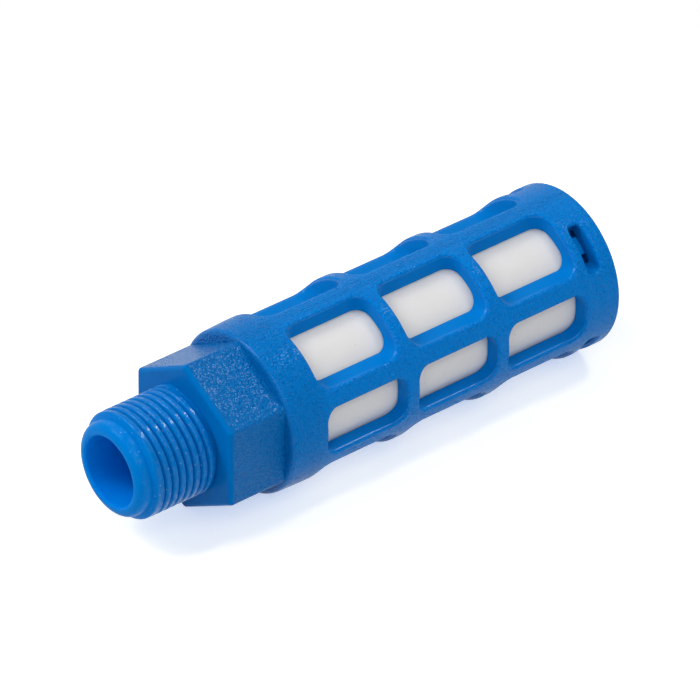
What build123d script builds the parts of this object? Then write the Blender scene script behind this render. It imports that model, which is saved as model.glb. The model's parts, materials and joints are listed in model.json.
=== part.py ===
"""Pneumatic exhaust silencer: a moulded body with a windowed cage, a porous tube and a snap-in end cap.

The axis is X, with the inlet mouth at x = 0 and the closed end at the far end.  +Z is up.
The body comes from a mould that opens along Y.  So the windows and the snap slots are cut along Y,
and the mould halves meet on the ribs at the top and at the bottom.
"""

import os
from math import acos, asin, degrees, hypot, sqrt

from build123d import *

# Inlet, in mm
inlet_bore_radius = 5.6
thread_radius = 8.5
lead_in_length = 1.9
thread_length = 9.75
nose_step = 0.92
nose_rounding = 1.4
nose_length = 1.75
neck_depth = 0.9
neck_length = 0.5

# Hexagon
hexagon_across_flats = 22.0
hexagon_length = 10.2
hexagon_softening = 0.7

# Cage, which stands out over the corners of the hexagon
collar_step = 0.5
collar_taper = 0.15
collar_taper_length = 5.0
collar_softening = 0.8
cage_wall = 2.5
collar_length = 6.8
window_rows = 3
window_length = 15.2
hoop_width = 2.4
middle_window_height = 7.5
side_rib_height = 2.85
parting_rib_width = 3.5
window_corner_radius = 2.15
end_ring_length = 6.85
edge_softening = 0.5

# Snap slots in the end ring
slot_offset = 1.7
slot_width = 2.4
slot_bottom_height = 5.9
slot_top_cover = 2.25
slot_floor_depth = 4.6
slot_corner_radius = 0.5

# Seat of the porous tube
seat_floor_thickness = 2.2
seat_boss_height = 1.6

# Porous tube
tube_wall = 3.0
tube_edge_chamfer = 0.3

# End cap
cap_recess = 0.4
cap_disc_thickness = 1.8
cap_skirt_wall = 1.3
cap_skirt_length = 3.5
cap_spigot_wall = 1.4
cap_spigot_overlap = 4.0
cap_edge_chamfer = 0.4
lug_width = 2.7
lug_rise = 0.8
lug_length = 1.5
lug_ramp_length = 0.8
lug_offset = 0.2
lug_slit_width = 1.5

# Clearances
tube_clearance = 0.1
boss_clearance = 0.15
cap_clearance = 0.1
spigot_clearance = 0.15

# Places along the axis
thread_start = nose_length + lead_in_length
thread_end = thread_start + thread_length
hexagon_front = thread_end + neck_length
collar_front = hexagon_front + hexagon_length
taper_end = collar_front + collar_taper_length
seat_floor = collar_front + seat_floor_thickness
first_window = collar_front + collar_length
window_pitch = window_length + hoop_width
end_ring_front = first_window + window_rows * window_pitch - hoop_width
slot_front = end_ring_front + slot_offset
body_length = end_ring_front + end_ring_length
cap_face = body_length - cap_recess
cap_floor = cap_face - cap_disc_thickness
cap_front = cap_floor - cap_skirt_length
lug_front = slot_front + lug_offset

# Radii and heights
nose_radius = thread_radius - nose_step
nose_face_radius = nose_radius - nose_rounding
neck_radius = thread_radius - neck_depth
cage_radius = hexagon_across_flats / sqrt(3) + collar_step
collar_radius = cage_radius - collar_taper
cage_inner_radius = cage_radius - cage_wall
tube_radius = cage_inner_radius - tube_clearance
tube_inner_radius = tube_radius - tube_wall
seat_boss_radius = tube_inner_radius - boss_clearance
cap_radius = cage_inner_radius - cap_clearance
skirt_inner_radius = cap_radius - cap_skirt_wall
spigot_radius = tube_inner_radius - spigot_clearance
side_window_bottom = middle_window_height / 2 + side_rib_height
slot_top_height = cage_radius - slot_top_cover
beyond = 2 * cage_radius


def on_outer_surface(edge):
    """True where the whole edge lies on the outer cylinder of the cage, behind the collar's taper."""
    points = [edge @ (step / 4) for step in range(5)]
    on_cylinder = all(abs(hypot(point.Y, point.Z) - cage_radius) < 0.001 for point in points)
    return on_cylinder and points[0].X > taper_end + 0.001


def four_ways():
    """Mirror the part being built into the other three quarters about the axis."""
    mirror(about=Plane.XZ)
    mirror(about=Plane.XY)


# Hexagon for the spanner, with a corner at the top
with BuildPart() as hexagon:
    with BuildSketch(Plane.YZ.offset(hexagon_front)):
        RegularPolygon(hexagon_across_flats / 2, 6, major_radius=False, rotation=30)
    extrude(amount=hexagon_length + collar_softening)
    long_edges = hexagon.edges().filter_by(Axis.X)
    front_edges = hexagon.faces().sort_by(Axis.X)[0].edges()
    fillet(long_edges + front_edges, hexagon_softening)

# What one row of windows removes: a window at the middle of each side, and two beside each of them
with BuildPart() as window_row:
    with BuildSketch(Plane.XZ) as side_outline:
        with Locations((0, side_window_bottom)):
            Rectangle(window_length, beyond, align=(Align.MIN, Align.MIN))
        fillet(side_outline.vertices().group_by(Axis.Z)[0], window_corner_radius)
    extrude(amount=beyond)
    with BuildSketch(Plane.XY) as plan_outline:
        with Locations((0, -parting_rib_width / 2)):
            Rectangle(window_length, beyond, align=(Align.MIN, Align.MAX))
        fillet(plan_outline.vertices().group_by(Axis.Y)[-1], window_corner_radius)
    extrude(amount=2 * beyond, mode=Mode.INTERSECT)
    four_ways()
    with BuildSketch(Plane.XZ):
        with Locations((window_length / 2, 0)):
            RectangleRounded(window_length, middle_window_height, window_corner_radius)
    extrude(amount=beyond, both=True)

# What the four snap slots remove
with BuildPart() as snap_slots:
    with BuildSketch(Plane.XZ.offset(slot_floor_depth)) as slot_outline:
        with Locations((slot_front, slot_bottom_height)):
            Rectangle(slot_width, slot_top_height - slot_bottom_height, align=(Align.MIN, Align.MIN))
        fillet(slot_outline.vertices(), slot_corner_radius)
    extrude(amount=beyond)
    four_ways()

# Body: nose, thread blank, neck, hexagon, collar, cage and end ring in one moulding
with BuildPart() as body:
    with BuildSketch(Plane.XZ):
        with BuildLine():
            face = Line((0, 0), (0, nose_face_radius))
            rounding = TangentArc(face @ 1, (nose_rounding, nose_radius), tangent=(0, 1))
            stub = Polyline(
                rounding @ 1,
                (nose_length, nose_radius),
                (thread_start, thread_radius),
                (thread_end, thread_radius),
                (thread_end, neck_radius),
                (collar_front, neck_radius),
                (collar_front, collar_radius - collar_softening),
            )
            collar = TangentArc(
                stub @ 1,
                (collar_front + collar_softening, collar_radius),
                tangent=(0, 1),
            )
            Polyline(
                collar @ 1,
                (taper_end, cage_radius),
                (body_length, cage_radius),
                (body_length, 0),
                face @ 0,
            )
        make_face()
    revolve(axis=Axis.X)
    add(hexagon.part)
    with BuildSketch(Plane.XZ):
        with BuildLine():
            Polyline(
                (0, 0),
                (0, inlet_bore_radius),
                (seat_floor + seat_boss_height, inlet_bore_radius),
                (seat_floor + seat_boss_height, seat_boss_radius),
                (seat_floor, seat_boss_radius),
                (seat_floor, cage_inner_radius),
                (body_length, cage_inner_radius),
                (body_length, 0),
                close=True,
            )
        make_face()
    revolve(axis=Axis.X, mode=Mode.SUBTRACT)
    with Locations(*[(first_window + row * window_pitch, 0, 0) for row in range(window_rows)]):
        add(window_row.part, mode=Mode.SUBTRACT)
    add(snap_slots.part, mode=Mode.SUBTRACT)
    fillet(body.edges().filter_by(on_outer_surface), edge_softening)

# Porous tube, clamped between the seat and the skirt of the cap
with BuildPart() as silencer_element:
    with BuildSketch(Plane.YZ.offset(seat_floor)):
        Circle(tube_radius)
        Circle(tube_inner_radius, mode=Mode.SUBTRACT)
    extrude(amount=cap_front - seat_floor)
    chamfer(silencer_element.edges().filter_by(GeomType.CIRCLE), tube_edge_chamfer)

# Angles about the axis: a snap tongue, a slit beside it, and the middle of a slot's inner opening
tongue_angle = degrees(lug_width / cap_radius)
slit_angle = degrees(lug_slit_width / cap_radius)
slot_start_angle = degrees(asin(slot_floor_depth / cage_inner_radius))
slot_end_angle = degrees(acos(slot_bottom_height / cage_inner_radius))
lug_angle = (slot_start_angle + slot_end_angle) / 2

# Snap lug at the top of the cap, with its ramp toward the inlet
with BuildPart() as snap_lug:
    with BuildSketch(Plane.XZ.rotated((-tongue_angle / 2, 0, 0))):
        with BuildLine():
            Polyline(
                (lug_front, cap_radius - cap_skirt_wall / 2),
                (lug_front, cap_radius),
                (lug_front + lug_ramp_length, cap_radius + lug_rise),
                (lug_front + lug_length, cap_radius + lug_rise),
                (lug_front + lug_length, cap_radius - cap_skirt_wall / 2),
                close=True,
            )
        make_face()
    revolve(axis=Axis.X, revolution_arc=tongue_angle)

# The slits on both sides of that lug, which make a springy tongue of the skirt
with BuildPart() as tongue_slits:
    with BuildSketch(Plane.XZ.rotated((tongue_angle / 2, 0, 0))):
        with Locations((cap_front, (skirt_inner_radius + spigot_radius) / 2)):
            Rectangle(cap_skirt_length, cap_radius, align=(Align.MIN, Align.MIN))
    revolve(axis=Axis.X, revolution_arc=slit_angle)
    mirror(about=Plane.XZ)

# End cap: disc, slit skirt with four lugs, and a spigot that centres the tube
with BuildPart() as end_cap:
    with BuildSketch(Plane.XZ):
        with BuildLine():
            Polyline(
                (cap_face, 0),
                (cap_face, cap_radius - cap_edge_chamfer),
                (cap_face - cap_edge_chamfer, cap_radius),
                (cap_front, cap_radius),
                (cap_front, skirt_inner_radius),
                (cap_floor, skirt_inner_radius),
                (cap_floor, spigot_radius),
                (cap_front - cap_spigot_overlap, spigot_radius),
                (cap_front - cap_spigot_overlap, spigot_radius - cap_spigot_wall),
                (cap_floor, spigot_radius - cap_spigot_wall),
                (cap_floor, 0),
                close=True,
            )
        make_face()
    revolve(axis=Axis.X)
    for turn in (lug_angle, 180 - lug_angle, 180 + lug_angle, -lug_angle):
        with Locations(Location((0, 0, 0), (turn, 0, 0))):
            add(tongue_slits.part, mode=Mode.SUBTRACT)
            add(snap_lug.part)

os.makedirs("parts", exist_ok=True)
body.part.label = "body"
export_step(body.part, "parts/body.step")
silencer_element.part.label = "silencer_element"
export_step(silencer_element.part, "parts/silencer_element.step")
end_cap.part.label = "end_cap"
export_step(end_cap.part, "parts/end_cap.step")
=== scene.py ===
"""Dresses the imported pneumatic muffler: threaded moulded body, porous tube, snap-in cap and studio."""

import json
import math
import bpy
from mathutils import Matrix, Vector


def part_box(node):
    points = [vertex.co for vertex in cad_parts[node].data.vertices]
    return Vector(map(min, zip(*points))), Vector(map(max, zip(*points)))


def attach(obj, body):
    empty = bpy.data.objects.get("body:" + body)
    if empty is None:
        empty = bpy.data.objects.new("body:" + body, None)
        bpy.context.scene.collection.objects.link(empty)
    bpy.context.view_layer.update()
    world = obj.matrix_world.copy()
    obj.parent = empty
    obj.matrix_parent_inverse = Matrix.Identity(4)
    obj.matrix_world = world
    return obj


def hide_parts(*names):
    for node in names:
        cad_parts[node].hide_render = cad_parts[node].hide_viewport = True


bl_info = {
    "name": "Pneumatic Muffler",
    "version": (1, 0, 0),
    "blender": (4, 5, 0),
    "location": "View3D > Sidebar > Muffler",
    "description": "Builds the finish of a moulded pneumatic exhaust muffler around its CAD frame",
    "category": "Object",
}

import bmesh
import bpy
from bpy.props import FloatProperty, FloatVectorProperty, IntProperty, PointerProperty
from mathutils import Quaternion, Vector

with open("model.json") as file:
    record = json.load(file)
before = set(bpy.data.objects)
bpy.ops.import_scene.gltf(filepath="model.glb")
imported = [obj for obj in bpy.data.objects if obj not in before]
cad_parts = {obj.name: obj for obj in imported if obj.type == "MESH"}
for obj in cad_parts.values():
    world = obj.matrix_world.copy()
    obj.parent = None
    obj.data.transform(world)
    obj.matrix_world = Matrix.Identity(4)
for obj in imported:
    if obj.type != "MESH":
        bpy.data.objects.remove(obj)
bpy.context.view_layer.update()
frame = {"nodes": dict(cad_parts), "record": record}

MM = 0.001
MOUNTS = {mount["name"]: mount for mount in frame["record"]["mounts"]}
THREAD_MOUNT = MOUNTS["inlet_thread"]
BORE_MOUNT = MOUNTS["inlet_bore"]
BODY_LOW, BODY_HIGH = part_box("body")
MIDDLE = (BODY_LOW + BODY_HIGH) / 2
CAGE_RADIUS = BODY_HIGH.z
BORE_RADIUS = BORE_MOUNT["dims"]["r_mm"] * MM
BORE_END = BORE_MOUNT["dims"]["length_mm"] * MM
THREAD_START = THREAD_MOUNT["pos_m"][0]
THREAD_END = THREAD_START + THREAD_MOUNT["dims"]["length_mm"] * MM
NECK_LENGTH = 0.5 * MM
HEXAGON_LENGTH = 10.2 * MM
HEXAGON_FRONT = THREAD_END + NECK_LENGTH
COLLAR_FRONT = HEXAGON_FRONT + HEXAGON_LENGTH

# Soft edges where one finish gives way to the next: their start and end, past the size they follow
HEXAGON_START = (0.3 * MM, 0.9 * MM)
STUB_END = (-0.3 * MM, -0.1 * MM)
NOSE_END = (-0.72 * MM, -0.12 * MM)
THREAD_BEGINNING = (-0.02 * MM, 0.88 * MM)
COLLAR_START = (-0.1 * MM, 0.5 * MM)
COLLAR_END = (5.0 * MM, 8.0 * MM)
BORE_WALL = (0.05 * MM, 0.35 * MM)
NOSE_SIDE = (-0.4 * MM, -0.1 * MM)
STUB_SIDE = (-0.5 * MM, -0.1 * MM)
CREST_TOP = (-0.2 * MM, -0.08 * MM)
NECK_SHOULDER = (0.2 * MM, 0.7 * MM)
CAGE_RIM = (-0.55 * MM, -0.4 * MM)
CAGE_SKIN = (-0.45 * MM, -0.2 * MM)

# The same beside the parting plane
SEAM_SIDE = (0.05 * MM, 0.16 * MM)
CUTTER_LINES_SIDE = (0.9 * MM, 1.3 * MM)

# How much of their gloss the crests and the nose keep where they are dull and where they are worn
DULL_GLOSS = 0.06
WORN_GLOSS = 0.8

# Painted shade: how much of the darker colour each region shows, standing in for the shade that falls on it
NOSE_PAINTED_SHADE = 0.12
STUB_PAINTED_SHADE = 0.35
NECK_PAINTED_SHADE = 0.15
HEXAGON_PAINTED_SHADE = 0.75
COLLAR_PAINTED_SHADE = 0.36
WINDOW_WALL_PAINTED_SHADE = 0.3

# Fineness of the stub's mesh
STEPS_PER_PITCH = 22
BORE_RIM_STEPS = 5
NOSE_EDGE_STEPS = 12
WELD_DISTANCE = 0.002 * MM
SHARP_ANGLE = math.radians(60)

# Distance within which a corner of the CAD body counts as lying on the stub
TOUCHING = 0.01 * MM

BLUE_PLASTIC = "moulded_blue_plastic"

# Lamps: name, place in metres, width in metres and power in watts
LAMPS = (
    ("back_key", (-0.365, 0.307, 0.553), 0.42, 2.7),
    ("back_glint", (-0.365, 0.307, 0.553), 0.12, 0.7),
    ("front_key", (-0.413, -0.381, 0.457), 0.45, 1.0),
    ("glint", (0.42, -0.09, 0.65), 0.13, 1.2),
    ("fill", (0.044, -0.53, 0.53), 0.45, 1.4),
)

# From the middle of the floor to its edge, and from the camera to the nearest thing that it shows
FLOOR_REACH = 3000 * MM
CAMERA_CLIP_START = 10 * MM


# Sizes and colours


class ThreadSizes(bpy.types.PropertyGroup):
    """Sizes of the inlet stub and its thread"""

    crest_radius: FloatProperty(
        name="Crest Radius",
        description="Radius over the crests of the thread",
        default=THREAD_MOUNT["dims"]["r_mm"] * MM,
        subtype="DISTANCE",
        unit="LENGTH",
    )
    pitch: FloatProperty(
        name="Pitch",
        description="Distance from one crest to the next, for 19 threads to the inch",
        default=25.4 / 19 * MM,
        subtype="DISTANCE",
        unit="LENGTH",
    )
    depth: FloatProperty(
        name="Depth",
        description="Depth of the thread, from crest to root",
        default=0.78 * MM,
        subtype="DISTANCE",
        unit="LENGTH",
    )
    crest_share: FloatProperty(
        name="Crest Share",
        description="Share of the pitch that the crest takes",
        default=0.38,
        subtype="FACTOR",
    )
    flank_slope: FloatProperty(
        name="Flank Slope",
        description="Share of the depth that falls evenly from crest to root; the rest falls near the root",
        default=0.45,
        subtype="FACTOR",
    )
    first_crest: FloatProperty(
        name="First Crest",
        description="Distance from the mouth to the first crest, at the top of the stub",
        default=4.33 * MM,
        subtype="DISTANCE",
        unit="LENGTH",
    )
    nose_length: FloatProperty(
        name="Nose Length",
        description="Length of the plain bull nose in front of the thread",
        default=2.12 * MM,
        subtype="DISTANCE",
        unit="LENGTH",
    )
    nose_radius: FloatProperty(
        name="Nose Radius",
        description="Radius of the bull nose",
        default=7.5 * MM,
        subtype="DISTANCE",
        unit="LENGTH",
    )
    nose_rounding: FloatProperty(
        name="Nose Rounding",
        description="Radius of the rounding on the outer edge of the nose",
        default=1.45 * MM,
        subtype="DISTANCE",
        unit="LENGTH",
    )
    land_radius: FloatProperty(
        name="Land Radius",
        description="Radius of the plain land between the nose and the thread",
        default=8.45 * MM,
        subtype="DISTANCE",
        unit="LENGTH",
    )
    land_front: FloatProperty(
        name="Land Front",
        description="Distance from the mouth to the front of the plain land",
        default=2.7 * MM,
        subtype="DISTANCE",
        unit="LENGTH",
    )
    land_back: FloatProperty(
        name="Land Back",
        description="Distance from the mouth to the back of the plain land",
        default=3.3 * MM,
        subtype="DISTANCE",
        unit="LENGTH",
    )
    last_turns: FloatProperty(
        name="Last Turns",
        description="Turns after the first crest at which the ridge runs out, before the hexagon",
        default=6.97,
    )
    run_out: FloatProperty(
        name="Run Out",
        description="Turns over which the ridge runs out",
        default=0.1,
    )
    run_in: FloatProperty(
        name="Run In",
        description="Distance behind the land over which the first groove deepens",
        default=0.45 * MM,
        subtype="DISTANCE",
        unit="LENGTH",
    )
    bore_rounding: FloatProperty(
        name="Bore Rounding",
        description="Radius of the rounding on the rim of the bore",
        default=0.4 * MM,
        subtype="DISTANCE",
        unit="LENGTH",
    )
    sides: IntProperty(
        name="Sides",
        description="Number of facets around the stub",
        default=192,
    )


class PlasticFinish(bpy.types.PropertyGroup):
    """Finish of the moulded blue plastic"""

    colour: FloatVectorProperty(
        name="Colour",
        description="Colour of the moulded plastic",
        default=(0.0, 0.207, 0.655),
        subtype="COLOR",
        size=3,
        min=0,
        max=1,
    )
    # Painted shade: the colour that the most shaded regions reach, as a share of the plain colour
    painted_shade_level: FloatProperty(
        name="Painted Shade Level",
        description="Brightness of the thickest walls, as a share of the thin ones",
        default=0.62,
        subtype="FACTOR",
    )
    # Painted light: a lighter, bluer colour for the bore, standing in for the light that reaches it through
    # the stub
    bore_light_colour: FloatVectorProperty(
        name="Bore Light Colour",
        description="Colour of the bore, which light reaches through the stub",
        default=(0.0, 0.23, 0.8),
        subtype="COLOR",
        size=3,
        min=0,
        max=1,
    )
    # Partly painted glints: pale specks that stand for scuffs and also for glints of light
    scuff_and_glint_colour: FloatVectorProperty(
        name="Scuff And Glint Colour",
        description="Colour of the scuffs on the thread",
        default=(0.35, 0.55, 0.8),
        subtype="COLOR",
        size=3,
        min=0,
        max=1,
    )
    # Painted shade: the darker colour of the hollows between the grain cells
    hollow_shade_colour: FloatVectorProperty(
        name="Hollow Shade Colour",
        description="Colour of the hollows between the cells of the grain",
        default=(0.0, 0.1, 0.4),
        subtype="COLOR",
        size=3,
        min=0,
        max=1,
    )
    grain_size: FloatProperty(
        name="Grain Size",
        description="Size of the cells of the spark-eroded grain",
        default=0.38 * MM,
        subtype="DISTANCE",
        unit="LENGTH",
    )
    grain_depth: FloatProperty(
        name="Grain Depth",
        description="Depth of the spark-eroded grain",
        default=0.19 * MM,
        subtype="DISTANCE",
        unit="LENGTH",
    )
    fleck_size: FloatProperty(
        name="Fleck Size",
        description="Distance between the glints of the grain",
        default=0.24 * MM,
        subtype="DISTANCE",
        unit="LENGTH",
    )
    # Spacing of the pale specks, partly scuffs and partly painted glints
    scuff_and_glint_spacing: FloatProperty(
        name="Scuff And Glint Spacing",
        description="Distance between the places where a scuff may lie",
        default=0.6 * MM,
        subtype="DISTANCE",
        unit="LENGTH",
    )
    wave_size: FloatProperty(
        name="Wave Size",
        description="Size of the slow waves of the moulded surface",
        default=4 * MM,
        subtype="DISTANCE",
        unit="LENGTH",
    )
    wave_depth: FloatProperty(
        name="Wave Depth",
        description="Depth of the slow waves of the moulded surface",
        default=0.03 * MM,
        subtype="DISTANCE",
        unit="LENGTH",
    )
    seam_height: FloatProperty(
        name="Seam Height",
        description="Height of the seam along the parting ribs",
        default=0.02 * MM,
        subtype="DISTANCE",
        unit="LENGTH",
    )
    line_height: FloatProperty(
        name="Line Height",
        description="Height of the cutter lines beside the seam",
        default=0.055 * MM,
        subtype="DISTANCE",
        unit="LENGTH",
    )
    line_pitch: FloatProperty(
        name="Line Pitch",
        description="Distance from one cutter line to the next",
        default=0.5 * MM,
        subtype="DISTANCE",
        unit="LENGTH",
    )


class TubeFinish(bpy.types.PropertyGroup):
    """Finish of the porous tube"""

    colour: FloatVectorProperty(
        name="Colour",
        description="Colour of the sintered plastic",
        default=(0.79, 0.78, 0.77),
        subtype="COLOR",
        size=3,
        min=0,
        max=1,
    )
    speck_colour: FloatVectorProperty(
        name="Speck Colour",
        description="Colour of the few dark specks",
        default=(0.3, 0.28, 0.25),
        subtype="COLOR",
        size=3,
        min=0,
        max=1,
    )
    grain_size: FloatProperty(
        name="Grain Size",
        description="Size of the sintered grains",
        default=0.25 * MM,
        subtype="DISTANCE",
        unit="LENGTH",
    )
    grain_depth: FloatProperty(
        name="Grain Depth",
        description="Depth of the sintered grain",
        default=0.02 * MM,
        subtype="DISTANCE",
        unit="LENGTH",
    )
    mottle_size: FloatProperty(
        name="Mottle Size",
        description="Size of the lighter and darker patches",
        default=2.5 * MM,
        subtype="DISTANCE",
        unit="LENGTH",
    )
    speck_spacing: FloatProperty(
        name="Speck Spacing",
        description="Distance between the dark specks",
        default=1.8 * MM,
        subtype="DISTANCE",
        unit="LENGTH",
    )


class StageSizes(bpy.types.PropertyGroup):
    """View, floor and even light of the studio"""

    azimuth: FloatProperty(
        name="Azimuth",
        description="Direction of the view, from +Y towards +X",
        default=math.radians(40.5),
        subtype="ANGLE",
    )
    elevation: FloatProperty(
        name="Elevation",
        description="Height of the camera over the horizon",
        default=math.radians(34.07),
        subtype="ANGLE",
    )
    distance: FloatProperty(
        name="Distance",
        description="Distance from the camera to the point it looks at",
        default=0.9462,
        subtype="DISTANCE",
        unit="LENGTH",
    )
    roll: FloatProperty(
        name="Roll",
        description="Turn of the camera about its line of sight",
        default=math.radians(0.93),
        subtype="ANGLE",
    )
    lens: FloatProperty(
        name="Focal Length",
        description="Focal length of the camera, in millimetres",
        default=326.6,
    )
    aim_past_middle: FloatProperty(
        name="Aim Past Middle",
        description="Distance along the axis from the middle of the part to the point in view",
        default=1.733 * MM,
        subtype="DISTANCE",
        unit="LENGTH",
    )
    aim_aside: FloatProperty(
        name="Aim Aside",
        description="Distance across the axis, towards +Y, of the point in view",
        default=0.066 * MM,
        subtype="DISTANCE",
        unit="LENGTH",
    )
    aim_height: FloatProperty(
        name="Aim Height",
        description="Height over the axis of the point in view",
        default=1.934 * MM,
        subtype="DISTANCE",
        unit="LENGTH",
    )
    paper_colour: FloatVectorProperty(
        name="Paper Colour",
        description="Colour of the floor, for the light that it throws on the part",
        default=(0.8, 0.8, 0.8),
        subtype="COLOR",
        size=3,
        min=0,
        max=1,
    )
    # Painted shadow tint: with the shadow colour, this colour makes the floor's shadow blue, standing in
    # for light thrown by the plastic
    shaded_colour: FloatVectorProperty(
        name="Shaded Colour",
        description="Colour of the floor in view that the shadow takes away",
        default=(0.9, 0.775, 0.425),
        subtype="COLOR",
        size=3,
        min=0,
        max=1,
    )
    shadow_colour: FloatVectorProperty(
        name="Shadow Colour",
        description="Colour that stays in the deepest shadow in view",
        default=(0.46, 0.54, 0.75),
        subtype="COLOR",
        size=3,
        min=0,
        max=1,
    )
    even_light: FloatProperty(
        name="Even Light",
        description="Strength of the light that reaches the part from all around",
        default=0.25,
    )
    fade_start: FloatProperty(
        name="Fade Start",
        description="Distance from the middle of the part at which the floor starts to fade to white",
        default=75 * MM,
        subtype="DISTANCE",
        unit="LENGTH",
    )
    fade_end: FloatProperty(
        name="Fade End",
        description="Distance from the middle of the part at which the floor is white",
        default=140 * MM,
        subtype="DISTANCE",
        unit="LENGTH",
    )


# Shader expressions


class Wire:
    """An output of a shader node, with arithmetic that adds Math nodes."""

    def __init__(self, finish, socket):
        self.finish = finish
        self.socket = socket

    def __getitem__(self, name):
        return Wire(self.finish, self.socket.node.outputs[name])

    def __add__(self, other):
        return self.finish.maths("ADD", self, other)

    def __radd__(self, other):
        return self.finish.maths("ADD", other, self)

    def __sub__(self, other):
        return self.finish.maths("SUBTRACT", self, other)

    def __rsub__(self, other):
        return self.finish.maths("SUBTRACT", other, self)

    def __mul__(self, other):
        return self.finish.maths("MULTIPLY", self, other)

    def __rmul__(self, other):
        return self.finish.maths("MULTIPLY", other, self)


class Finish:
    """A node tree, of a material or of the world, that is written as expressions."""

    def __init__(self, owner):
        owner.use_nodes = True
        self.owner = owner
        self.tree = owner.node_tree
        self.tree.nodes.clear()

    def node(self, kind, settings=None, sockets=None, output=0):
        """Add a node: its settings first, then the values or wires of its sockets."""
        made = self.tree.nodes.new("ShaderNode" + kind)
        for name, value in (settings or {}).items():
            setattr(made, name, value)
        for name, value in (sockets or {}).items():
            if isinstance(value, Wire):
                self.tree.links.new(value.socket, made.inputs[name])
            else:
                made.inputs[name].default_value = value
        return Wire(self, made.outputs[output]) if made.outputs else made

    def maths(self, operation, *values):
        """One Math node on one or two values."""
        return self.node("Math", {"operation": operation}, dict(enumerate(values)))

    def in_reflections(self):
        """1 for the rays that show the backdrop in a reflection or through glass."""
        rays = self.node("LightPath", output="Is Glossy Ray")
        return self.maths("MAXIMUM", rays, rays["Is Transmission Ray"])

    def ramp(self, value, low, high):
        """0 below low and 1 above high, with a smooth rise between them."""
        settings = {"interpolation_type": "SMOOTHSTEP"}
        return self.node("MapRange", settings, {"Value": value, "From Min": low, "From Max": high})

    def edge(self, value, size, ends):
        """0 before a soft edge and 1 past it; its ends are measured from a size."""
        return self.ramp(value, size + ends[0], size + ends[1])

    def blend(self, mask, first, second):
        """The first colour where the mask is 0 and the second where it is 1."""
        settings = {"data_type": "RGBA"}
        return self.node("Mix", settings, {0: mask, 6: first, 7: second}, output=2)

    def noise(self, place, size, detail=2.0, roughness=0.5):
        """Noise with features of about a size in metres, from 0 to 1."""
        sockets = {"Vector": place, "Scale": 1 / size, "Detail": detail, "Roughness": roughness}
        return self.node("TexNoise", None, sockets)

    def cells(self, place, size):
        """Distance from the middle of the nearest cell, for cells of about a size in metres."""
        return self.node("TexVoronoi", None, {"Vector": place, "Scale": 1 / size})

    def chance(self, cells):
        """A number from 0 to 1 that stays the same over each cell."""
        return self.node("SeparateColor", None, {0: cells["Color"]})

    def mixed(self, mask, first, second):
        """The first shader where the mask is 0 and the second where it is 1."""
        return self.node("MixShader", None, {0: mask, 1: first, 2: second})

    def bump(self, height):
        """A normal from a height in metres."""
        sockets = {"Height": height, "Distance": 1.0, "Strength": 1.0}
        return self.node("Bump", None, sockets, output="Normal")

    def principled(self, **sockets):
        """A Principled shader, from the names and values of its sockets."""
        named = {name.replace("_", " "): value for name, value in sockets.items()}
        return self.node("BsdfPrincipled", None, named)

    def finished(self, shader):
        """The material or world with a shader on its surface."""
        kind = "OutputWorld" if isinstance(self.owner, bpy.types.World) else "OutputMaterial"
        self.node(kind, None, {"Surface": shader})
        return self.owner


# Finishes


def opaque(colour, shade=1.0):
    """A colour with its alpha, made lighter or darker."""
    return [channel * shade for channel in colour] + [1]


class BodyRegions:
    """Places on the moulded body, and masks that are 1 on a region and 0 off it."""

    def __init__(self, made, thread):
        self.place = made.node("TexCoord", output="Object")
        self.along = made.node("SeparateXYZ", None, {0: self.place})
        across = self.along["Y"]
        up = self.along["Z"]
        self.aside = made.maths("ABSOLUTE", across)
        self.radius = made.maths("SQRT", across * across + up * up)

        self.stub = 1 - made.edge(self.along, HEXAGON_FRONT, STUB_END)
        self.bore = self.stub * (1 - made.edge(self.radius, BORE_RADIUS, BORE_WALL))
        self.outer_stub = self.stub * made.edge(self.radius, thread.nose_radius, STUB_SIDE)
        before_nose_end = 1 - made.edge(self.along, thread.nose_length, NOSE_END)
        self.nose_edge = made.edge(self.radius, thread.nose_radius, NOSE_SIDE) * before_nose_end
        self.crests = made.edge(self.radius, thread.crest_radius, CREST_TOP)
        self.past_nose = made.edge(self.along, thread.nose_length, THREAD_BEGINNING)
        self.past_crests = made.edge(self.radius, thread.crest_radius, NECK_SHOULDER)

        self.past_stub = made.edge(self.along, HEXAGON_FRONT, HEXAGON_START)
        self.cage = made.edge(self.along, COLLAR_FRONT, COLLAR_START)
        self.collar = self.cage * (1 - made.edge(self.along, COLLAR_FRONT, COLLAR_END))
        self.hexagon = self.past_stub * (1 - self.cage)
        skin = made.edge(self.radius, CAGE_RADIUS, CAGE_SKIN)
        self.window_walls = self.cage * (1 - skin)
        self.grained = self.hexagon + self.cage * skin
        self.rims = made.edge(self.radius, CAGE_RADIUS, CAGE_RIM) * self.cage


def parting_height(made, on, finish):
    """Height of the seam and the cutter lines where the two halves of the mould meet."""
    seam = 1 - made.ramp(on.aside, *SEAM_SIDE)
    near_seam = 1 - made.ramp(on.aside, *CUTTER_LINES_SIDE)
    lines = made.maths("COSINE", on.aside * (2 * math.pi / finish.line_pitch)) * near_seam
    return (seam * finish.seam_height + lines * finish.line_height) * on.cage


def grain_flecks(made, on, finish):
    """Mask of the glints on the spark-eroded grain."""
    glints = made.cells(on.place, finish.fleck_size)
    chosen = made.chance(glints) + made.noise(on.place, 1.0 * MM)
    return (1 - made.ramp(glints, 0.15, 0.4)) * made.ramp(chosen, 0.75, 1.0)


def polished_edges(made, on):
    """Mask of the crests, the nose and the rims, which handling has polished."""
    worn = made.ramp(made.noise(on.place, 0.4 * MM), 0.42, 0.6)
    gloss = DULL_GLOSS + (WORN_GLOSS - DULL_GLOSS) * worn
    stub_edges = made.maths("MAXIMUM", on.crests, on.nose_edge * 0.5)
    return stub_edges * on.stub * gloss + on.rims


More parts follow.
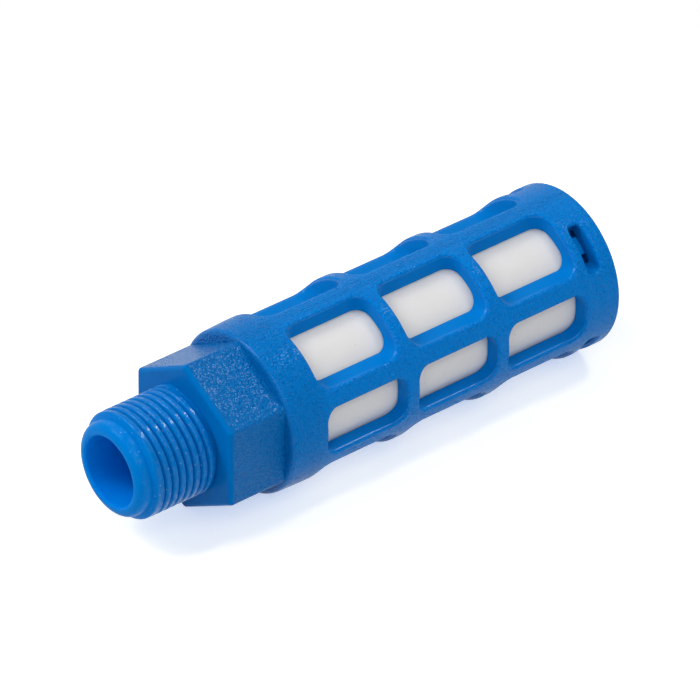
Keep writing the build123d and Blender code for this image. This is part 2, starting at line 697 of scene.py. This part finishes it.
def body_colour(made, on, finish, hollow_shade):
    """Colour of the moulded plastic, with painted shade by region and in the hollows of the grain, painted
    light in the bore, and pale scuffs on the thread that are partly painted glints.
    """
    # Painted shade: each region is darkened by its share, standing in for the shade that falls on it
    front = NOSE_PAINTED_SHADE + STUB_PAINTED_SHADE * on.past_nose + NECK_PAINTED_SHADE * on.past_crests
    walls = WINDOW_WALL_PAINTED_SHADE * on.window_walls + COLLAR_PAINTED_SHADE * on.collar
    painted_shade_share = front * (1 - on.past_stub) + HEXAGON_PAINTED_SHADE * on.hexagon + walls
    uneven = 0.12 * (made.noise(on.place, 5 * MM, 3.0) - 0.5)
    painted_shade_colour = opaque(finish.colour, finish.painted_shade_level)
    plain = made.blend(painted_shade_share + uneven, opaque(finish.colour), painted_shade_colour)
    # Painted light: the bore is coloured lighter and bluer, standing in for the light that reaches it
    # through the stub
    lit = made.blend(on.bore * 0.8, plain, opaque(finish.bore_light_colour))

    # Pale specks on the outer stub, partly real scuffs and partly painted glints
    dots = made.cells(on.place, finish.scuff_and_glint_spacing)
    chosen = made.ramp(made.chance(dots), 0.7, 0.75)
    scuffs_and_glints = (1 - made.ramp(dots, 0.1, 0.22)) * chosen * on.outer_stub
    with_scuffs_and_glints = made.blend(scuffs_and_glints * 0.5, lit, opaque(finish.scuff_and_glint_colour))
    # Painted shade: the hollows between the grain cells are darkened
    return made.blend(hollow_shade * 0.16, with_scuffs_and_glints, opaque(finish.hollow_shade_colour))


def moulded_plastic(finish, thread):
    """Blue plastic: spark-eroded outside, smooth in the windows and on the thread."""
    made = Finish(bpy.data.materials.new(BLUE_PLASTIC))
    on = BodyRegions(made, thread)
    waves = made.noise(on.place, finish.wave_size) * finish.wave_depth
    pebbles = made.cells(on.place, finish.grain_size)
    rough = made.noise(on.place, finish.grain_size * 0.6, 2.0, 0.6) * 0.5 - pebbles * pebbles
    # Painted shade: mask of the hollows between the grain cells, which the colour darkens
    hollow_shade = made.ramp(pebbles, 0.4, 0.75) * on.grained
    uneven = 0.06 * made.noise(on.place, 1.5 * MM, 3.0)
    plastic = {
        "Base_Color": body_colour(made, on, finish, hollow_shade),
        "Subsurface_Weight": 0.3,
        "Subsurface_Radius": (0.2, 0.6, 1.0),
        "Subsurface_Scale": 0.8 * MM,
    }
    polished = made.principled(
        Roughness=0.32 + uneven,
        Normal=made.bump(waves),
        IOR=1.15,
        Specular_IOR_Level=0.4,
        Specular_Tint=(0, 0.5, 1, 1),
        Coat_Weight=polished_edges(made, on),
        Coat_Roughness=0.16,
        Coat_IOR=1.4,
        **plastic,
    )
    grain = {
        "Roughness": 0.22 + uneven,
        "Normal": made.bump(rough * finish.grain_depth + waves + parting_height(made, on, finish)),
        "Specular_IOR_Level": 1.0,
        "Specular_Tint": (0.4, 0.7, 1, 1),
        "Coat_Weight": grain_flecks(made, on, finish),
        "Coat_Roughness": 0.26,
        "Coat_IOR": 1.45,
    }
    hexagon_skin = made.principled(IOR=1.14, **grain, **plastic)
    cage_skin = made.principled(IOR=1.08, **grain, **plastic)
    eroded = made.mixed(on.cage, hexagon_skin, cage_skin)
    return made.finished(made.mixed(on.grained, polished, eroded))


def sintered_plastic(finish):
    """White porous plastic of fused grains."""
    made = Finish(bpy.data.materials.new("sintered_white_plastic"))
    place = made.node("TexCoord", output="Object")
    fine = made.noise(place, finish.grain_size, 3.0, 0.6)
    mottle = made.noise(place, finish.mottle_size, 3.0)
    specks = 1 - made.ramp(made.cells(place, finish.speck_spacing), 0.03, 0.07)
    lightness = mottle * 0.5 + fine * 0.5
    white = made.blend(lightness, opaque(finish.colour, 0.93), opaque(finish.colour, 1.02))
    shader = made.principled(
        Base_Color=made.blend(specks * 0.4, white, opaque(finish.speck_colour)),
        Roughness=0.75 + 0.15 * fine,
        Normal=made.bump(fine * finish.grain_depth),
        Specular_IOR_Level=0.25,
        Subsurface_Weight=0.9,
        Subsurface_Radius=(1.0, 1.0, 1.0),
        Subsurface_Scale=1.5 * MM,
    )
    return made.finished(shader)


# Shapes


def smooth(value, low, high):
    """0 below low and 1 above high, with a smooth rise between them."""
    share = min(max((value - low) / (high - low), 0.0), 1.0)
    return share * share * (3 - 2 * share)


def blank_radius(sizes, along):
    """Radius of the stub behind its nose, before the thread is cut."""
    share = (along - sizes.nose_length) / (sizes.land_front - sizes.nose_length)
    to_land = math.sin(math.pi / 2 * min(max(share, 0.0), 1.0)) * (sizes.land_radius - sizes.nose_radius)
    lead_in = smooth(along, sizes.land_back, THREAD_START) * (sizes.crest_radius - sizes.land_radius)
    return sizes.nose_radius + to_land + lead_in


def thread_radius(sizes, along, turn):
    """Radius of the threaded stub at a distance along the axis and a turn about it."""
    turns = (along - sizes.first_crest) / sizes.pitch - turn
    from_crest = abs(turns - round(turns)) * 2
    flank = min(max((from_crest - sizes.crest_share) / (1 - sizes.crest_share), 0.0), 1.0)
    profile = sizes.flank_slope * flank + (1 - sizes.flank_slope) * flank**4
    groove_centre = sizes.first_crest + (math.floor(turns) + 0.5 + turn) * sizes.pitch
    cut_in = smooth(groove_centre, sizes.land_back - sizes.run_in, sizes.land_back)
    run_out_start = sizes.last_turns - 0.4 * sizes.run_out
    cut_out = smooth(round(turns) + turn, run_out_start, run_out_start + sizes.run_out)
    cut = sizes.depth * max(profile, cut_out) * cut_in
    return min(sizes.crest_radius - cut, blank_radius(sizes, along))


def around(along, radius, turn):
    """The point at a distance along the axis and a turn about it from the top."""
    angle = 2 * math.pi * turn
    return along, -radius * math.sin(angle), radius * math.cos(angle)


def ring(mesh, along, radii):
    """A ring of vertices about the axis, with a radius for each of them."""
    sides = len(radii)
    return [mesh.verts.new(around(along, radius, side / sides)) for side, radius in enumerate(radii)]


def bridge(mesh, first, second):
    """Quads between two rings."""
    count = len(first)
    for side in range(count):
        after = (side + 1) % count
        mesh.faces.new((first[side], first[after], second[after], second[side]))


def arc(centre, radius, start, end, steps):
    """Points of an arc in the half plane of x and radius; angles in degrees."""
    points = []
    for step in range(steps + 1):
        angle = math.radians(start + (end - start) * step / steps)
        points.append((centre[0] + radius * math.cos(angle), centre[1] + radius * math.sin(angle)))
    return points


def nose_profile(sizes):
    """Outline of the bore and the bull nose as x and radius, from the end of the bore outwards."""
    rim = sizes.bore_rounding
    edge = sizes.nose_rounding
    profile = [(BORE_END, BORE_RADIUS), (HEXAGON_FRONT, BORE_RADIUS)]
    profile += arc((rim, BORE_RADIUS + rim), rim, 270, 180, BORE_RIM_STEPS)
    profile += arc((edge, sizes.nose_radius - edge), edge, 180, 90, NOSE_EDGE_STEPS)
    return profile


def helix_rows(mesh, sizes):
    """Rows of vertices that climb with the thread, from the nose to the hexagon."""
    start = sizes.nose_length
    pitches = int((HEXAGON_FRONT - start) / sizes.pitch) + 2
    rows = []
    for step in range(-STEPS_PER_PITCH, pitches * STEPS_PER_PITCH + 1):
        row = []
        for side in range(sizes.sides):
            turn = side / sizes.sides
            climbed = start + (step / STEPS_PER_PITCH + turn) * sizes.pitch
            along = min(max(climbed, start), HEXAGON_FRONT)
            row.append(mesh.verts.new(around(along, thread_radius(sizes, along, turn), turn)))
        rows.append(row)
    return rows


def bridge_helix(mesh, rows):
    """Quads between rows that climb: each row's end meets the start of the row one pitch on."""
    last = len(rows[0]) - 1
    for index, (row, above) in enumerate(zip(rows, rows[1:])):
        for side in range(last):
            mesh.faces.new((row[side], row[side + 1], above[side + 1], above[side]))
        pitch_on = index + STEPS_PER_PITCH
        if pitch_on + 1 < len(rows):
            mesh.faces.new((row[last], rows[pitch_on][0], rows[pitch_on + 1][0], above[last]))


def build_stub(sizes):
    """Mesh of the inlet stub: bore, bull nose and helical thread."""
    start = sizes.nose_length
    mesh = bmesh.new()
    rings = [ring(mesh, along, [radius] * sizes.sides) for along, radius in nose_profile(sizes)]
    helix = helix_rows(mesh, sizes)
    nose_back = [thread_radius(sizes, start, side / sizes.sides) for side in range(sizes.sides)]
    rings.append(ring(mesh, start, nose_back))
    for first, second in zip(rings, rings[1:]):
        bridge(mesh, first, second)
    bridge_helix(mesh, helix)
    bmesh.ops.remove_doubles(mesh, verts=mesh.verts, dist=WELD_DISTANCE)
    bmesh.ops.dissolve_degenerate(mesh, edges=mesh.edges, dist=WELD_DISTANCE / 2)
    bmesh.ops.recalc_face_normals(mesh, faces=mesh.faces)
    stub = bpy.data.meshes.new("inlet_stub")
    mesh.to_mesh(stub)
    mesh.free()
    stub.shade_smooth()
    stub.set_sharp_from_angle(angle=SHARP_ANGLE)
    return stub


def mesh_lists(mesh, keep=lambda corners: True):
    """Vertices, faces and corner normals of the faces of a mesh that are kept."""
    points = [vertex.co.copy() for vertex in mesh.vertices]
    normals = [normal.vector.copy() for normal in mesh.corner_normals]
    faces = []
    corner_normals = []
    for face in mesh.polygons:
        if keep([points[index] for index in face.vertices]):
            faces.append(tuple(face.vertices))
            corner_normals += [normals[index] for index in face.loop_indices]
    return points, faces, corner_normals


def is_outside_stub(corners, crest_radius):
    """True for the faces of the CAD body that the threaded stub doesn't replace."""
    reach = max(math.hypot(corner.y, corner.z) for corner in corners)
    back = max(corner.x for corner in corners)
    on_bore = reach < BORE_RADIUS + TOUCHING
    on_stub = back < HEXAGON_FRONT + TOUCHING and reach < crest_radius + TOUCHING
    return not (on_bore or on_stub)


def joined_mesh(name, parts):
    """One mesh from lists of vertices, faces and corner normals, which it keeps."""
    points = []
    faces = []
    normals = []
    for part_points, part_faces, part_normals in parts:
        offset = len(points)
        points += part_points
        faces += [tuple(index + offset for index in face) for face in part_faces]
        normals += part_normals
    mesh = bpy.data.meshes.new(name)
    mesh.from_pydata(points, [], faces)
    mesh.shade_smooth()
    mesh.normals_split_custom_set(normals)
    return mesh


def dress(node, material):
    """Give a CAD piece its finish."""
    mesh = frame["nodes"][node].data
    mesh.materials.clear()
    mesh.materials.append(material)


# Pieces


class MUFFLER_OT_moulded_body(bpy.types.Operator):
    """Build the moulded body: the CAD cage and hexagon, with a threaded inlet stub"""

    bl_idname = "muffler.moulded_body"
    bl_label = "Moulded Body"
    bl_options = {"REGISTER", "UNDO"}

    def execute(self, context):
        thread = context.scene.muffler_thread
        crest = thread.crest_radius
        stub = build_stub(thread)
        shell = mesh_lists(frame["nodes"]["body"].data, lambda corners: is_outside_stub(corners, crest))
        mesh = joined_mesh("moulded_body", [shell, mesh_lists(stub)])
        bpy.data.meshes.remove(stub)
        mesh.materials.append(moulded_plastic(context.scene.muffler_plastic, thread))
        body = bpy.data.objects.new("moulded_body", mesh)
        context.scene.collection.objects.link(body)
        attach(body, "root")
        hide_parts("body")
        return {"FINISHED"}


class MUFFLER_OT_silencer_tube(bpy.types.Operator):
    """Give the porous tube its sintered finish"""

    bl_idname = "muffler.silencer_tube"
    bl_label = "Porous Tube"
    bl_options = {"REGISTER", "UNDO"}

    def execute(self, context):
        dress("silencer_element", sintered_plastic(context.scene.muffler_tube))
        return {"FINISHED"}


class MUFFLER_OT_end_cap(bpy.types.Operator):
    """Give the snap-in end cap its moulded finish"""

    bl_idname = "muffler.end_cap"
    bl_label = "End Cap"
    bl_options = {"REGISTER", "UNDO"}

    def execute(self, context):
        dress("end_cap", bpy.data.materials[BLUE_PLASTIC])
        return {"FINISHED"}


# Studio


def floor_finish(sizes):
    """Pale floor that shows white as a backdrop and keeps the shadow, whose blue tint is painted by the
    floor's colours as well as thrown by the plastic.
    """
    made = Finish(bpy.data.materials.new("studio_floor"))
    paper = made.node("BsdfDiffuse", None, {"Color": opaque(sizes.paper_colour)})
    white = made.node("Emission")
    mirrored = made.mixed(made.in_reflections(), paper, white)
    # Painted shadow tint: the shaded colour and the blue glow turn the shadow blue, standing in for light
    # thrown by the plastic
    shaded = made.node("BsdfDiffuse", None, {"Color": opaque(sizes.shaded_colour)})
    glow_and_shadow_tint = made.node("Emission", None, {"Color": opaque(sizes.shadow_colour)})
    near = made.node("AddShader", None, {0: shaded, 1: glow_and_shadow_tint})
    place = made.node("TexCoord", output="Object")
    away = made.node("VectorMath", {"operation": "DISTANCE"}, {0: place, 1: MIDDLE}, "Value")
    seen = made.mixed(made.ramp(away, sizes.fade_start, sizes.fade_end), near, white)
    camera_ray = made.node("LightPath", output="Is Camera Ray")
    return made.finished(made.mixed(camera_ray, mirrored, seen))


def backdrop_world(sizes):
    """World that lights the part evenly and shows white as a backdrop."""
    made = Finish(bpy.data.worlds.new("studio"))
    seen = made.maths("MAXIMUM", made.node("LightPath", output="Is Camera Ray"), made.in_reflections())
    strength = made.node("MapRange", None, {"Value": seen, "To Min": sizes.even_light, "To Max": 1.0})
    return made.finished(made.node("Background", None, {"Strength": strength}))


def add_floor(scene, sizes):
    """The square floor that the part lies on."""
    mesh = bpy.data.meshes.new("studio_floor")
    sides = ((-1, -1), (1, -1), (1, 1), (-1, 1))
    corners = [(FLOOR_REACH * x, FLOOR_REACH * y, BODY_LOW.z) for x, y in sides]
    mesh.from_pydata(corners, [], [(0, 1, 2, 3)])
    mesh.materials.append(floor_finish(sizes))
    floor = bpy.data.objects.new("studio_floor", mesh)
    scene.collection.objects.link(floor)


def add_lamp(scene, name, place, width, power):
    """A square soft lamp, aimed at the middle of the part."""
    light = bpy.data.lights.new(name, "AREA")
    light.shape = "SQUARE"
    light.size = width
    light.energy = power
    lamp = bpy.data.objects.new(name, light)
    lamp.location = place
    lamp.rotation_euler = (MIDDLE - Vector(place)).to_track_quat("-Z", "Y").to_euler()
    scene.collection.objects.link(lamp)


def add_camera(scene, sizes):
    """The camera, level but for its roll, looking at a point near the middle of the part."""
    camera_data = bpy.data.cameras.new("camera")
    camera_data.lens = sizes.lens
    camera_data.clip_start = CAMERA_CLIP_START
    camera = bpy.data.objects.new("camera", camera_data)
    flat = math.cos(sizes.elevation)
    view = Vector((
        math.sin(sizes.azimuth) * flat,
        math.cos(sizes.azimuth) * flat,
        -math.sin(sizes.elevation),
    ))
    aim = MIDDLE + Vector((sizes.aim_past_middle, sizes.aim_aside, sizes.aim_height))
    camera.location = aim - view * sizes.distance
    turned = view.to_track_quat("-Z", "Y") @ Quaternion((0, 0, 1), sizes.roll)
    camera.rotation_euler = turned.to_euler()
    scene.collection.objects.link(camera)
    scene.camera = camera


class MUFFLER_OT_stage(bpy.types.Operator):
    """Set up the floor, the backdrop, the lamps and the camera"""

    bl_idname = "muffler.stage"
    bl_label = "Stage"
    bl_options = {"REGISTER", "UNDO"}

    def execute(self, context):
        scene = context.scene
        sizes = scene.muffler_stage
        add_floor(scene, sizes)
        scene.world = backdrop_world(sizes)
        for name, place, width, power in LAMPS:
            add_lamp(scene, name, place, width, power)
        add_camera(scene, sizes)
        scene.view_settings.view_transform = "Standard"
        return {"FINISHED"}


class MUFFLER_PT_panel(bpy.types.Panel):
    """Sidebar panel with the pieces of the muffler"""

    bl_idname = "MUFFLER_PT_panel"
    bl_label = "Pneumatic Muffler"
    bl_space_type = "VIEW_3D"
    bl_region_type = "UI"
    bl_category = "Muffler"

    def draw(self, context):
        layout = self.layout
        for operator in PIECES:
            layout.operator(operator.bl_idname)
        for name in GROUPS:
            sizes = getattr(context.scene, name)
            box = layout.box()
            for field in sizes.bl_rna.properties:
                if field.identifier not in ("rna_type", "name"):
                    box.prop(sizes, field.identifier)


PIECES = (
    MUFFLER_OT_moulded_body,
    MUFFLER_OT_silencer_tube,
    MUFFLER_OT_end_cap,
    MUFFLER_OT_stage,
)
GROUPS = {
    "muffler_thread": ThreadSizes,
    "muffler_plastic": PlasticFinish,
    "muffler_tube": TubeFinish,
    "muffler_stage": StageSizes,
}


def register():
    for group in GROUPS.values():
        bpy.utils.register_class(group)
    for name, group in GROUPS.items():
        setattr(bpy.types.Scene, name, PointerProperty(type=group))
    for operator in PIECES:
        bpy.utils.register_class(operator)
    bpy.utils.register_class(MUFFLER_PT_panel)


def unregister():
    bpy.utils.unregister_class(MUFFLER_PT_panel)
    for operator in reversed(PIECES):
        bpy.utils.unregister_class(operator)
    for name in GROUPS:
        delattr(bpy.types.Scene, name)
    for group in GROUPS.values():
        bpy.utils.unregister_class(group)


def main():
    register()
    bpy.ops.muffler.moulded_body()
    bpy.ops.muffler.silencer_tube()
    bpy.ops.muffler.end_cap()
    bpy.ops.muffler.stage()


if __name__ == "__main__":
    main()
